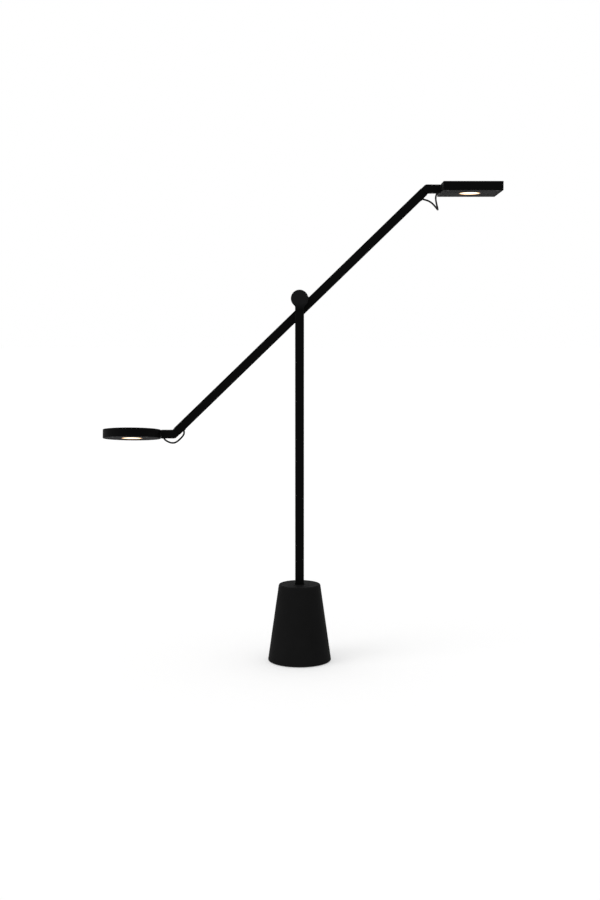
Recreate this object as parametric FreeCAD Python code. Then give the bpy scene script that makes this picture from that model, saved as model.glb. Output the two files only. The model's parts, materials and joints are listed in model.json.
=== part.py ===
"""Counterweight desk lamp: a long arm with a round and a square lamp head, balanced on a slim stem.

Millimetres. X points right, Y away from the viewer, Z up. The stem's axis meets the table at the origin.
"""

import FreeCAD
import Part
import math
import os

Vector = FreeCAD.Vector
Rotation = FreeCAD.Rotation
Placement = FreeCAD.Placement

os.makedirs("parts", exist_ok=True)

X = Vector(1, 0, 0)
Y = Vector(0, 1, 0)
Z = Vector(0, 0, 1)

# ---- Making the shapes ----
PAST = 1.0  # how far a cutting shape runs past the face that it cuts
NEAR = 0.01  # how close two heights or lengths count as the same

# ---- Fits ----
RUNNING_FIT = 0.05  # radial, between a pin and the bore that turns on it
SLIDING_FIT = 0.10  # between flat faces that slide on each other
SEAT_FIT = 0.05  # around a piece that is seated for good
OPEN_GAP = 0.5  # between knuckle faces that pass each other
GEAR_BACKLASH = 0.16

# ---- Weighted base ----
BASE_BOTTOM_RADIUS = 65.0
BASE_TOP_RADIUS = 42.5
BASE_HEIGHT = 159.0
BASE_LIFT = 1.0  # shadow gap between the table and the casting
BASE_WALL = 10.0
BASE_TOP_THICKNESS = 14.0
BASE_TOP_ROUND = 3.0
BASE_FOOT_ROUND = 1.5
BASE_RIM_WIDTH = 4.8  # the casting's rim around the bottom plate
PLATE_THICKNESS = 3.0
PLATE_SCREW_INSET = 15.0  # from the cone's foot to the screws
PLATE_SCREW_RADIUS = 2.5
PLATE_SCREW_HEAD_RADIUS = 4.6
PLATE_SCREW_HEAD_DEPTH = 2.1
PLATE_SCREW_GRIP = 10.0
PLATE_SCREW_COUNT = 4
PLATE_BOSS_RADIUS = 6.0
PLATE_BOSS_CAP = 4.0  # above the screw's tip
PAD_THICKNESS = 2.5
PAD_INSET = 0.5
DRIVER_LENGTH = 62.0
DRIVER_WIDTH = 34.0
DRIVER_HEIGHT = 22.0
DRIVER_ROUND = 2.0
GLAND_HEIGHT = 17.0
GLAND_BORE_RADIUS = 3.1
GLAND_BODY_RADIUS = 5.5
GLAND_FLANGE_RADIUS = 8.0
GLAND_FLANGE_THICKNESS = 2.5
GLAND_NOSE_LENGTH = 4.0
GLAND_TAIL_LENGTH = 3.0
GLAND_SEAT_DEPTH = 1.5
GLAND_SEAT_MARGIN = 0.5

# ---- Stem ----
STEM_WIDTH = 18.0
STEM_WALL = 1.5
STEM_CORNER = 1.5
STEM_SOCKET_DEPTH = 45.0
SOCKET_FLOOR = 7.0
SOCKET_BOSS_RADIUS = 18.0
LEAD_HOLE_RADIUS = 6.6
STEM_SCREW_RADIUS = 2.5
STEM_SCREW_LENGTH = 8.0
STEM_SCREW_PITCH = 14.0
STEM_SCREW_COUNT = 2
STEM_SCREW_HIGHEST = 22.0  # below the base's top
LEAD_RADIUS = 1.6

# ---- Hub on the stem ----
HUB_HEIGHT = 740.4
HUB_TO_STEM = 27.0  # from the pivot down to the stem tube's top
HUB_RADIUS = 17.5
HUB_NECK_FILLET = 6.0
HUB_EDGE = 0.6
SPIGOT_LENGTH = 28.0
HUB_CAP_RADIUS = 15.5
HUB_CAP_THICKNESS = 1.5
HUB_CAP_EDGE = 0.4
HUB_CAVITY_RADIUS = 11.0
HUB_CAVITY_DEPTH = 5.5
HUB_LEAD_OFFSET = 4.6
HUB_LEAD_HOLE_RADIUS = 2.0
HUB_SCREW_RADIUS = 1.5
HUB_SCREW_HEAD_RADIUS = 2.8
HUB_SCREW_HEAD_DEPTH = 1.2
HUB_SCREW_LENGTH = 6.0
HUB_SCREW_DROP = 9.0
HUB_SCREW_PITCH = 10.0
HUB_SCREW_COUNT = 2

# ---- Pivot, pinion and rack ----
AXLE_HEAD_FLATS = 15.0
AXLE_HEAD_THICKNESS = 4.0
AXLE_RADIUS = 5.0
JOURNAL_RADIUS = 4.0
AXLE_THREAD_RADIUS = 3.0
AXLE_BORE_RADIUS = 1.9
AXLE_THREAD_PROUD = 0.5  # past the nut
GEAR_MODULE = 1.0
PINION_TEETH = 28
PRESSURE_ANGLE = math.radians(20)
GEAR_ROOT_CLEARANCE = 0.25
PINION_WIDTH = 5.2
PINION_BOSS_RADIUS = 8.0
RACK_RIDGE_WIDTH = 6.0
RACK_BODY_HEIGHT = 3.0
RACK_SLOT_MARGIN = 0.5

# ---- Arm ----
ARM_WIDTH = 18.0
ARM_WALL = 1.5
ARM_CORNER = 1.2
ELBOW_SPACING = 710.4
ARM_ANGLE = math.radians(43.96)  # rise of the arm as photographed
ARM_DROP = 19.85  # from the pivot to the arm's axis
ARM_SHIFT_AT_REST = -20.1  # of the arm's middle from the point under the pivot, along the arm
ARM_STEM_GAP = 2.0
TILT_LIMIT = math.radians(60)  # either side of level
ARM_END_GAP = 12.0  # from the elbow's axis to the tube's end
PLUG_LENGTH = 34.0
PLUG_GROOVE_WIDTH = 4.4
PLUG_GROOVE_DEPTH = 4.4
LEAD_END_GAP = 26.0  # from the elbow's axis to the end of the arm's lead
PLUG_SCREW_PLACE = 36.0
PLUG_SCREW_RADIUS = 1.5
PLUG_SCREW_HEAD_RADIUS = 2.8
PLUG_SCREW_HEAD_DEPTH = 1.2
PLUG_SCREW_LENGTH = 6.0

# ---- Carriage behind the hub ----
CARRIAGE_RADIUS = 16.0
CARRIAGE_TAIL = 7.0  # how far its plate reaches past the arm's axis
CARRIAGE_CORNER = 4.0
CARRIAGE_THICKNESS = 5.0
CARRIAGE_GAP = 0.4
CARRIAGE_BOSS_RADIUS = 8.5
BUSH_WALL = 1.5
WASHER_RADIUS = 7.0
WASHER_THICKNESS = 0.8
AXLE_NUT_FLATS = 10.0
AXLE_NUT_THICKNESS = 4.0
COUNTERBORE_RADIUS = 7.5
COUNTERBORE_DEPTH = 1.0
REAR_CAP_RADIUS = 12.0
REAR_CAP_WALL = 1.5
REAR_CAP_HEIGHT = 6.5
REAR_CAP_ROUND = 2.0
SHOE_LENGTH = 50.0
SHOE_GROOVE_WIDTH = 4.4
SHOE_GROOVE_DEPTH = 4.0
CARRIAGE_SCREW_SPACING = 18.0
CARRIAGE_SCREW_RADIUS = 1.5
CARRIAGE_SCREW_HEAD_RADIUS = 3.0
CARRIAGE_SCREW_HEAD_DEPTH = 1.5
CARRIAGE_SCREW_GRIP = 6.0
CARRIAGE_SCREW_DROP = 1.3  # below the arm's axis
SCREW_SLOT_MARGIN = 0.3

# ---- Elbows and brackets ----
TONGUE_WIDTH = 6.0
ELBOW_WASHER_RADIUS = 7.0
ELBOW_WASHER_THICKNESS = 0.5
ELBOW_PIN_RADIUS = 3.0
ELBOW_HEAD_RADIUS = 4.6
ELBOW_HEAD_THICKNESS = 1.6
ELBOW_SKIN = 1.2  # of the viewer's ear, over the blind end of the screw's hole
ELBOW_LIMIT = math.radians(75)  # either side of straight
BRACKET_WIDTH = 16.8
BRACKET_LENGTH = 26.0
BRACKET_CORNER = 1.2
NECK_BORE_DEPTH = 11.0
NECK_RADIUS = 5.0
NECK_BORE_RADIUS = 2.5
NECK_GROOVE_DEPTH = 0.6
NECK_GROOVE_WIDTH = 3.3
NECK_GROOVE_PLACE = 6.4  # from the bracket's end
NECK_FLANGE_RADIUS = 5.9
NECK_FLANGE_THICKNESS = 1.8
GRUB_RADIUS = 1.5
GRUB_SINK = 0.4
GRUB_TIP_GAP = 0.1

# ---- Jumper cables and their grommets ----
CABLE_RADIUS = 1.8
ARM_GROMMET_PLACE = 20.5  # from the elbow's axis
ARM_GROMMET_RADIUS = 3.5
ARM_GROMMET_LENGTH = 3.6
ARM_GROMMET_LEAN = math.radians(30)
BRACKET_GROMMET_PLACE = 21.5
BRACKET_GROMMET_RADIUS = 3.1
BRACKET_GROMMET_LENGTH = 2.6
BRACKET_GROMMET_LEAN = math.radians(28)
GROMMET_LIP = 0.5
GROMMET_LIP_THICKNESS = 0.7
CABLE_EXIT = 3.5  # how far a cable runs straight out of its grommet's face
CABLE_SEAT = 1.5  # how deep its end sits in the grommet
CABLE_ARC_SHARE = 0.45  # of the shorter run, taken up by the arc at its end

# ---- Heads ----
HEAD_GAP = 1.2  # between the bracket's end and the head
HEAD_SIZE = 118.0  # the round head's diameter and the square head's side
HEAD_THICKNESS = 18.0
HEAD_WALL = 2.5
HEAD_TOP_THICKNESS = 3.0
HEAD_EDGE = 0.7
SQUARE_CORNER = 1.5
ROUND_HEAD_ROLL = math.radians(9.3)
SQUARE_HEAD_ROLL = math.radians(-1.0)
HEAD_ROLL_LIMIT = math.radians(90)  # either side of level
COVER_THICKNESS = 2.0
COVER_RECESS = 0.3
COVER_SCREW_COUNT = 4
COVER_SCREW_INSET = 8.0  # from the head's side wall
COVER_POST_RADIUS = 3.5
COVER_SCREW_RADIUS = 1.25
COVER_SCREW_HEAD_RADIUS = 2.4
COVER_SCREW_HEAD_DEPTH = 1.2
COVER_SCREW_GRIP = 6.0
SPREADER_INSET = 15.0  # of the heat spreader from the head's side
ROUND_SPREADER_THICKNESS = 7.0
SQUARE_SPREADER_THICKNESS = 4.0
BOARD_RADIUS = 24.0
BOARD_THICKNESS = 1.6
CHIP_RADIUS = 9.0
CHIP_THICKNESS = 0.8
REFLECTOR_RADIUS = 22.0
REFLECTOR_LIP_HEIGHT = 3.4
REFLECTOR_WALL = 1.5
REFLECTOR_MOUTH = 12.0
DIFFUSER_RADIUS = 19.6
DIFFUSER_THICKNESS = 2.0
DIFFUSER_RECESS = 0.5

# ---- Worked out from the sizes above ----
PLATE_SCREW_CIRCLE = BASE_BOTTOM_RADIUS - PLATE_SCREW_INSET
STEM_TOP = HUB_HEIGHT - HUB_TO_STEM
STEM_INSIDE = STEM_WIDTH - 2 * STEM_WALL
ARM_INSIDE = ARM_WIDTH - 2 * ARM_WALL
STEM_BACK = STEM_WIDTH / 2
ARM_Y = STEM_BACK + ARM_STEM_GAP + ARM_WIDTH / 2
ARM_BACK = ARM_Y + ARM_WIDTH / 2
PITCH_RADIUS = GEAR_MODULE * PINION_TEETH / 2
TOOTH_PITCH = math.pi * GEAR_MODULE
RACK_PITCH_LINE = ARM_DROP - PITCH_RADIUS  # above the arm's axis
RACK_ROOT = RACK_PITCH_LINE - GEAR_MODULE - GEAR_ROOT_CLEARANCE
RACK_TIP = RACK_PITCH_LINE + GEAR_MODULE
RACK_BODY_TOP = RACK_ROOT - 2 * GEAR_ROOT_CLEARANCE
RACK_BODY_BOTTOM = RACK_BODY_TOP - RACK_BODY_HEIGHT
SHOE_TOP = RACK_BODY_BOTTOM - 2 * SLIDING_FIT
SHOE_BOTTOM = SLIDING_FIT - ARM_INSIDE / 2
LOWEST_TILT = -TILT_LIMIT - ARM_ANGLE
HIGHEST_TILT = TILT_LIMIT - ARM_ANGLE
CONTACT_AT_REST = -ARM_SHIFT_AT_REST  # where the pinion meets the rack, from the arm's middle
CONTACT_LOWEST = CONTACT_AT_REST + PITCH_RADIUS * LOWEST_TILT
CONTACT_HIGHEST = CONTACT_AT_REST + PITCH_RADIUS * HIGHEST_TILT
BRACKET_EAR = (BRACKET_WIDTH - TONGUE_WIDTH) / 2 - ELBOW_WASHER_THICKNESS
KNUCKLE_RADIUS = BRACKET_WIDTH / 2
KNUCKLE_REACH = KNUCKLE_RADIUS + OPEN_GAP
HEAD_START = BRACKET_LENGTH + HEAD_GAP
SPREADER_RADIUS = HEAD_SIZE / 2 - SPREADER_INSET
CARRIAGE_FRONT = ARM_BACK + CARRIAGE_GAP
CARRIAGE_REAR = CARRIAGE_FRONT + CARRIAGE_THICKNESS
COUNTERBORE_FLOOR = CARRIAGE_REAR - COUNTERBORE_DEPTH
PINION_FRONT = ARM_Y - PINION_WIDTH / 2
PINION_REAR = ARM_Y + PINION_WIDTH / 2
LEAD_LINE = SHOE_BOTTOM + SHOE_GROOVE_DEPTH / 2  # height of the arm's lead from the arm's axis
ARM_GROMMET = (
    -ARM_GROMMET_PLACE,
    ARM_GROMMET_LEAN,
    ARM_GROMMET_RADIUS,
    ARM_GROMMET_LENGTH,
    -ARM_WIDTH / 2,
)
BRACKET_GROMMET = (
    BRACKET_GROMMET_PLACE,
    -BRACKET_GROMMET_LEAN,
    BRACKET_GROMMET_RADIUS,
    BRACKET_GROMMET_LENGTH,
    -BRACKET_WIDTH / 2,
)
COVER_BOTTOM = COVER_RECESS - HEAD_THICKNESS / 2
COVER_TOP = COVER_BOTTOM + COVER_THICKNESS
CAVITY_TOP = HEAD_THICKNESS / 2 - HEAD_TOP_THICKNESS
HUB_CENTRE = Vector(0, 0, HUB_HEIGHT)

# The arm's own directions, and the places that the arm carries.
ALONG = Vector(math.cos(ARM_ANGLE), 0, math.sin(ARM_ANGLE))
DOWN = Vector(math.sin(ARM_ANGLE), 0, -math.cos(ARM_ANGLE))
ARM_CENTRE = HUB_CENTRE + DOWN * ARM_DROP + ALONG * ARM_SHIFT_AT_REST + Y * ARM_Y
ARM_TURN = Rotation(Y, -math.degrees(ARM_ANGLE))
HALF_TURN = Rotation(Z, 180)

STAND = Placement()
CARRIAGE = Placement(HUB_CENTRE, ARM_TURN)
ARM = Placement(ARM_CENTRE, ARM_TURN)


# ---- Shapes used by several pieces ----
def block(x_low, x_high, y_low, y_high, z_low, z_high):
    """A rectangular block between its limits."""
    corner = Vector(x_low, y_low, z_low)
    return Part.makeBox(x_high - x_low, y_high - y_low, z_high - z_low, corner)


def rod(radius, start, end):
    """A round bar between two points."""
    start, end = Vector(*start), Vector(*end)
    return Part.makeCylinder(radius, (end - start).Length, start, end - start)


def cone(start_radius, end_radius, start, end):
    """A round taper between two points."""
    start, end = Vector(*start), Vector(*end)
    return Part.makeCone(start_radius, end_radius, (end - start).Length, start, end - start)


def prism(points, depth):
    """A polygon moved along a vector."""
    return Part.Face(Part.makePolygon(points + points[:1])).extrude(depth)


def square_bar(width, x_low, x_high, corner=0.0):
    """A square bar along X, with its long edges rounded."""
    half = width / 2
    bar = block(x_low, x_high, -half, half, -half, half)
    if corner > 0:
        lengthways = [e for e in bar.Edges if abs(e.tangentAt(e.FirstParameter).x) > 1 - NEAR]
        bar = bar.makeFillet(corner, lengthways)
    return bar


def hexagon(flats, y_low, y_high):
    """A hexagonal bar along Y."""
    reach = flats / 2 / math.cos(math.pi / 6)
    corners = [
        Vector(reach * math.cos(k * math.pi / 3), y_low, reach * math.sin(k * math.pi / 3)) for k in range(6)
    ]
    return prism(corners, Y * (y_high - y_low))


def revolved(profile):
    """A ring made by turning (radius, height) points about Z."""
    points = [Vector(radius, 0, height) for radius, height in profile]
    return Part.Face(Part.makePolygon(points + points[:1])).revolve(Vector(), Z, 360)


def countersunk_screw(place, direction, length, radius, head_radius, head_depth):
    """A flat-headed screw: its head's face is at place, and its shank runs along direction."""
    place, direction = Vector(*place), Vector(*direction)
    head = cone(head_radius, radius, place, place + direction * head_depth)
    return head.fuse(rod(radius, place, place + direction * length)).removeSplitter()


def around_edge(shape, test, size):
    """The shape with a small round on the edges that pass the test."""
    return shape.makeFillet(size, [edge for edge in shape.Edges if test(edge.BoundBox)])


def cable(points, radius, name):
    """A round cable along straight runs joined by tangent arcs."""
    corners = [Vector(*p) for p in points]
    edges, radii, start = [], [], corners[0]
    for before, corner, after in zip(corners, corners[1:], corners[2:]):
        back, ahead = before - corner, after - corner
        trim = CABLE_ARC_SHARE * min(back.Length, ahead.Length)
        half_turn = (math.pi - back.getAngle(ahead)) / 2
        radii.append(trim / math.tan(half_turn))
        back.normalize()
        ahead.normalize()
        bisector = (back + ahead).normalize()
        depth = radii[-1] * (1 / math.cos(half_turn) - 1)
        arc_start, arc_end = corner + back * trim, corner + ahead * trim
        edges.append(Part.LineSegment(start, arc_start).toShape())
        edges.append(Part.Arc(arc_start, corner + bisector * depth, arc_end).toShape())
        start = arc_end
    edges.append(Part.LineSegment(start, corners[-1]).toShape())
    path = Part.Wire(edges)
    section = Part.Wire(Part.makeCircle(radius, corners[0], corners[1] - corners[0]))
    tube = path.makePipeShell([section], True, False)
    solid_share = tube.Volume / (math.pi * radius**2 * path.Length)
    print(f"{name}: {path.Length:.1f} long, tightest radius {min(radii):.1f}, volume share {solid_share:.4f}")
    return tube


def save(node, pieces, frame=STAND):
    """Writes the pieces of one node, moved from their own frame into the lamp's."""
    pieces = pieces if isinstance(pieces, list) else [pieces]
    solids = [solid for piece in pieces for solid in piece.Solids]
    placed = [solid.copy() for solid in solids]
    for solid in placed:
        solid.Placement = frame.multiply(solid.Placement)
    shape = placed[0] if len(placed) == 1 else Part.makeCompound(placed)
    if not shape.isValid():
        print(f"{node} is not valid")
    shape.exportStep(f"parts/{node}.step")


# ---- Base ----
def base_radius(height):
    """The casting's outer radius at a height."""
    slope = (BASE_BOTTOM_RADIUS - BASE_TOP_RADIUS) / (BASE_HEIGHT - BASE_LIFT)
    return BASE_BOTTOM_RADIUS - slope * (height - BASE_LIFT)


PAD_TOP = PAD_THICKNESS
PLATE_TOP = PAD_TOP + PLATE_THICKNESS
REBATE_RADIUS = BASE_BOTTOM_RADIUS - BASE_RIM_WIDTH
PLATE_RADIUS = REBATE_RADIUS - 2 * SEAT_FIT
CAVITY_CEILING = BASE_HEIGHT - BASE_TOP_THICKNESS
SOCKET_BOTTOM = BASE_HEIGHT - STEM_SOCKET_DEPTH
GLAND_SEAT = base_radius(GLAND_HEIGHT) - GLAND_SEAT_DEPTH
GLAND_INSIDE = base_radius(GLAND_HEIGHT) - BASE_WALL - GLAND_TAIL_LENGTH
STEM_SCREW_LEVELS = [
    BASE_HEIGHT - STEM_SCREW_HIGHEST - k * STEM_SCREW_PITCH for k in range(STEM_SCREW_COUNT)
]


def plate_screw_places():
    """Where the bottom plate's screws stand."""
    angles = [(k + 0.5) * 2 * math.pi / PLATE_SCREW_COUNT for k in range(PLATE_SCREW_COUNT)]
    return [(PLATE_SCREW_CIRCLE * math.cos(a), PLATE_SCREW_CIRCLE * math.sin(a)) for a in angles]


def base_casting():
    """The hollow iron cone, with the stem's socket hanging inside it."""
    body = cone(BASE_BOTTOM_RADIUS, BASE_TOP_RADIUS, (0, 0, BASE_LIFT), (0, 0, BASE_HEIGHT))
    body = around_edge(body, lambda box: box.ZMin > BASE_HEIGHT - NEAR, BASE_TOP_ROUND)
    body = around_edge(body, lambda box: box.ZMax < BASE_LIFT + NEAR, BASE_FOOT_ROUND)
    hollow = cone(
        base_radius(PLATE_TOP) - BASE_WALL,
        base_radius(CAVITY_CEILING) - BASE_WALL,
        (0, 0, PLATE_TOP),
        (0, 0, CAVITY_CEILING),
    )
    body = body.cut(hollow).cut(rod(REBATE_RADIUS, (0, 0, 0), (0, 0, PLATE_TOP)))
    boss_bottom = SOCKET_BOTTOM - SOCKET_FLOOR
    body = body.fuse(rod(SOCKET_BOSS_RADIUS, (0, 0, boss_bottom), (0, 0, CAVITY_CEILING + PAST)))
    for x, y in plate_screw_places():
        hole_end = PLATE_TOP + PLATE_SCREW_GRIP
        post = rod(PLATE_BOSS_RADIUS, (x, y, PLATE_TOP), (x, y, hole_end + PLATE_BOSS_CAP))
        body = body.fuse(post.common(cone_inside()))
        body = body.cut(rod(PLATE_SCREW_RADIUS, (x, y, 0), (x, y, hole_end)))
    half = STEM_WIDTH / 2 + SEAT_FIT
    body = body.cut(block(-half, half, -half, half, SOCKET_BOTTOM, BASE_HEIGHT + PAST))
    body = body.cut(rod(LEAD_HOLE_RADIUS, (0, 0, boss_bottom - PAST), (0, 0, SOCKET_BOTTOM + PAST)))
    for level in STEM_SCREW_LEVELS:
        body = body.cut(rod(STEM_SCREW_RADIUS, (0, 0, level), (0, SOCKET_BOSS_RADIUS + PAST, level)))
    outside = (0, BASE_BOTTOM_RADIUS + PAST, GLAND_HEIGHT)
    body = body.cut(rod(GLAND_BODY_RADIUS, (0, GLAND_INSIDE, GLAND_HEIGHT), outside))
    seat = rod(GLAND_FLANGE_RADIUS + GLAND_SEAT_MARGIN, (0, GLAND_SEAT, GLAND_HEIGHT), outside)
    save("base_casting", body.cut(seat).removeSplitter())


def cone_inside():
    """The space inside the casting, out to the middle of its wall."""
    bottom_radius, top_radius = BASE_BOTTOM_RADIUS - BASE_WALL / 2, BASE_TOP_RADIUS - BASE_WALL / 2
    return cone(bottom_radius, top_radius, (0, 0, BASE_LIFT), (0, 0, BASE_HEIGHT))


def base_underside():
    """The steel bottom plate with its screws, and the pad that the lamp stands on."""
    screws = []
    plate = rod(PLATE_RADIUS, (0, 0, PAD_TOP), (0, 0, PLATE_TOP))
    for x, y in plate_screw_places():
        screw = countersunk_screw(
            (x, y, PAD_TOP),
            (0, 0, 1),
            PLATE_THICKNESS + PLATE_SCREW_GRIP,
            PLATE_SCREW_RADIUS,
            PLATE_SCREW_HEAD_RADIUS,
            PLATE_SCREW_HEAD_DEPTH,
        )
        plate = plate.cut(screw)
        screws.append(screw)
    save("base_plate", plate)
    save("base_plate_screws", screws)
    save("foot_pad", rod(PLATE_RADIUS - PAD_INSET, (0, 0, 0), (0, 0, PAD_TOP)))


def base_fittings():
    """The lamp driver on the bottom plate, and the gland that a mains cord comes in through."""
    driver = block(
        -DRIVER_LENGTH / 2,
        DRIVER_LENGTH / 2,
        -DRIVER_WIDTH / 2,
        DRIVER_WIDTH / 2,
        PLATE_TOP,
        PLATE_TOP + DRIVER_HEIGHT,
    )
    upright = [e for e in driver.Edges if e.BoundBox.ZLength > DRIVER_HEIGHT / 2]
    save("led_driver", driver.makeFillet(DRIVER_ROUND, upright))

    flange_face = GLAND_SEAT + GLAND_FLANGE_THICKNESS
    nose_end = flange_face + GLAND_NOSE_LENGTH
    seat = (0, GLAND_SEAT, GLAND_HEIGHT)
    gland = rod(GLAND_BODY_RADIUS, (0, GLAND_INSIDE, GLAND_HEIGHT), seat)
    gland = gland.fuse(rod(GLAND_FLANGE_RADIUS, seat, (0, flange_face, GLAND_HEIGHT)))
    nose_radius = (GLAND_BORE_RADIUS + GLAND_BODY_RADIUS) / 2
    gland = gland.fuse(
        cone(GLAND_BODY_RADIUS, nose_radius, (0, flange_face, GLAND_HEIGHT), (0, nose_end, GLAND_HEIGHT))
    )
    gland = gland.cut(
        rod(GLAND_BORE_RADIUS, (0, GLAND_INSIDE - PAST, GLAND_HEIGHT), (0, nose_end + PAST, GLAND_HEIGHT))
    )
    save("cord_gland", gland.removeSplitter())
    print(f"cord gland bore: y {GLAND_INSIDE:.2f} to {nose_end:.2f}")


# ---- Stem ----
def hub_screw_levels():
    """Heights of the screws that hold the hub's spigot."""
    return [STEM_TOP - HUB_SCREW_DROP - k * HUB_SCREW_PITCH for k in range(HUB_SCREW_COUNT)]


def hub_screw(level):
    """A screw from the stem's back face into the spigot."""
    return countersunk_screw(
        (0, STEM_BACK, level),
        (0, -1, 0),
        HUB_SCREW_LENGTH,
        HUB_SCREW_RADIUS,
        HUB_SCREW_HEAD_RADIUS,
        HUB_SCREW_HEAD_DEPTH,
    )


def stem():
    """The square tube, the screws that clamp it in the base, and the lead inside it."""
    tube = square_bar(STEM_WIDTH, SOCKET_BOTTOM, STEM_TOP, STEM_CORNER)
    tube = tube.cut(square_bar(STEM_INSIDE, SOCKET_BOTTOM - PAST, STEM_TOP + PAST))
    tube.rotate(Vector(), Y, -90)
    for level in hub_screw_levels():
        tube = tube.cut(hub_screw(level))
    save("stem_tube", tube)
    screws = [
        rod(STEM_SCREW_RADIUS, (0, STEM_BACK, level), (0, STEM_BACK + STEM_SCREW_LENGTH, level))
        for level in STEM_SCREW_LEVELS
    ]
    save("stem_set_screws", screws)
    lead_bottom = (0, -HUB_LEAD_OFFSET, PLATE_TOP + DRIVER_HEIGHT)
    lead_top = (0, -HUB_LEAD_OFFSET, HUB_HEIGHT - AXLE_BORE_RADIUS)
    save("stem_lead", rod(LEAD_RADIUS, lead_bottom, lead_top))


# ---- Hub ----
CAP_BACK = HUB_CAP_THICKNESS - STEM_BACK
CAVITY_FLOOR = CAP_BACK + HUB_CAVITY_DEPTH
AXLE_SEAT = CAVITY_FLOOR + AXLE_HEAD_THICKNESS


def hub_outline():
    """The disc on its neck: the disc's edge runs into the neck through two hollow rounds."""
    half = STEM_WIDTH / 2
    fillet_x = half + HUB_NECK_FILLET
    reach = HUB_RADIUS + HUB_NECK_FILLET
    drop = math.sqrt(reach**2 - fillet_x**2)
    share = HUB_RADIUS / reach
    half_turn = math.atan2(drop, fillet_x) / 2
    bend_x = fillet_x - HUB_NECK_FILLET * math.cos(half_turn)
    bend_z = HUB_NECK_FILLET * math.sin(half_turn) - drop

    def at(x, z):
        return Vector(x, -STEM_BACK, HUB_HEIGHT + z)

    right_touch, left_touch = at(fillet_x * share, -drop * share), at(-fillet_x * share, -drop * share)
    foot = STEM_TOP - HUB_HEIGHT
    edges = [
        Part.Arc(right_touch, at(0, HUB_RADIUS), left_touch),
        Part.Arc(left_touch, at(-bend_x, bend_z), at(-half, -drop)),
        Part.LineSegment(at(-half, -drop), at(-half, foot)),
        Part.LineSegment(at(-half, foot), at(half, foot)),
        Part.LineSegment(at(half, foot), at(half, -drop)),
        Part.Arc(at(half, -drop), at(bend_x, bend_z), right_touch),
    ]
    return Part.Wire([edge.toShape() for edge in edges])


def hub():
    """The stem's head: a disc on a neck, its spigot, front cap and screws."""
    body = Part.Face(hub_outline()).extrude(Y * STEM_WIDTH)
    rims = []
    for edge in body.Edges:
        box = edge.BoundBox
        if box.YLength < NEAR < box.XLength and box.ZMin > HUB_HEIGHT - HUB_RADIUS:
            rims.append(edge)
    body = body.makeFillet(HUB_EDGE, rims)
    half = STEM_INSIDE / 2 - SEAT_FIT
    body = body.fuse(block(-half, half, -half, half, STEM_TOP - SPIGOT_LENGTH, STEM_TOP + PAST))
    centre = HUB_HEIGHT
    body = body.cut(rod(HUB_CAP_RADIUS + SEAT_FIT, (0, -STEM_BACK - PAST, centre), (0, CAP_BACK, centre)))
    body = body.cut(rod(HUB_CAVITY_RADIUS, (0, CAP_BACK - PAST, centre), (0, CAVITY_FLOOR, centre)))
    pocket = hexagon(AXLE_HEAD_FLATS + 2 * SEAT_FIT, CAVITY_FLOOR - PAST, AXLE_SEAT)
    pocket.translate(HUB_CENTRE)
    body = body.cut(pocket)
    body = body.cut(rod(AXLE_RADIUS + SEAT_FIT, (0, 0, centre), (0, STEM_BACK + PAST, centre)))
    body = body.cut(
        rod(
            HUB_LEAD_HOLE_RADIUS,
            (0, -HUB_LEAD_OFFSET, STEM_TOP - SPIGOT_LENGTH - PAST),
            (0, -HUB_LEAD_OFFSET, centre),
        )
    )
    screws = [hub_screw(level) for level in hub_screw_levels()]
    for screw in screws:
        body = body.cut(screw)
    save("hub_housing", body.removeSplitter())
    save("hub_screws", screws)
    cap = rod(HUB_CAP_RADIUS, (0, -STEM_BACK, centre), (0, CAP_BACK, centre))
    save("hub_front_cap", around_edge(cap, lambda box: box.YMax < NEAR - STEM_BACK, HUB_CAP_EDGE))


# ---- Pivot ----
def pinion_outline():
    """The pinion's teeth, with a gap facing the rack at rest."""
    base = PITCH_RADIUS * math.cos(PRESSURE_ANGLE)
    tip = PITCH_RADIUS + GEAR_MODULE
    root = PITCH_RADIUS - GEAR_MODULE - GEAR_ROOT_CLEARANCE

    def involute(radius):
        steepness = math.sqrt(max((radius / base) ** 2 - 1, 0))
        return steepness - math.atan(steepness)

    half_tooth = (TOOTH_PITCH / 2 - GEAR_BACKLASH / 2) / 2 / PITCH_RADIUS + involute(PITCH_RADIUS)

    def at(radius, angle):
        return Vector(radius * math.cos(angle), PINION_FRONT, radius * math.sin(angle))

    edges = []
    step = 2 * math.pi / PINION_TEETH
    for tooth in range(PINION_TEETH):
        middle = -math.pi / 2 + (tooth + 0.5) * step
        flank = [(radius, half_tooth - involute(radius)) for radius in (base, PITCH_RADIUS, tip)]
        rise = [at(radius, middle - angle) for radius, angle in flank]
        fall = [at(radius, middle + angle) for radius, angle in reversed(flank)]
        foot, next_foot = middle + half_tooth, middle + step - half_tooth
        edges.append(Part.LineSegment(at(root, middle - half_tooth), rise[0]))
        edges.append(Part.Arc(*rise))
        edges.append(Part.Arc(rise[-1], at(tip, middle), fall[0]))
        edges.append(Part.Arc(*fall))
        edges.append(Part.LineSegment(fall[-1], at(root, foot)))
        edges.append(Part.Arc(at(root, foot), at(root, (foot + next_foot) / 2), at(root, next_foot)))
    return Part.Wire([edge.toShape() for edge in edges])


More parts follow.
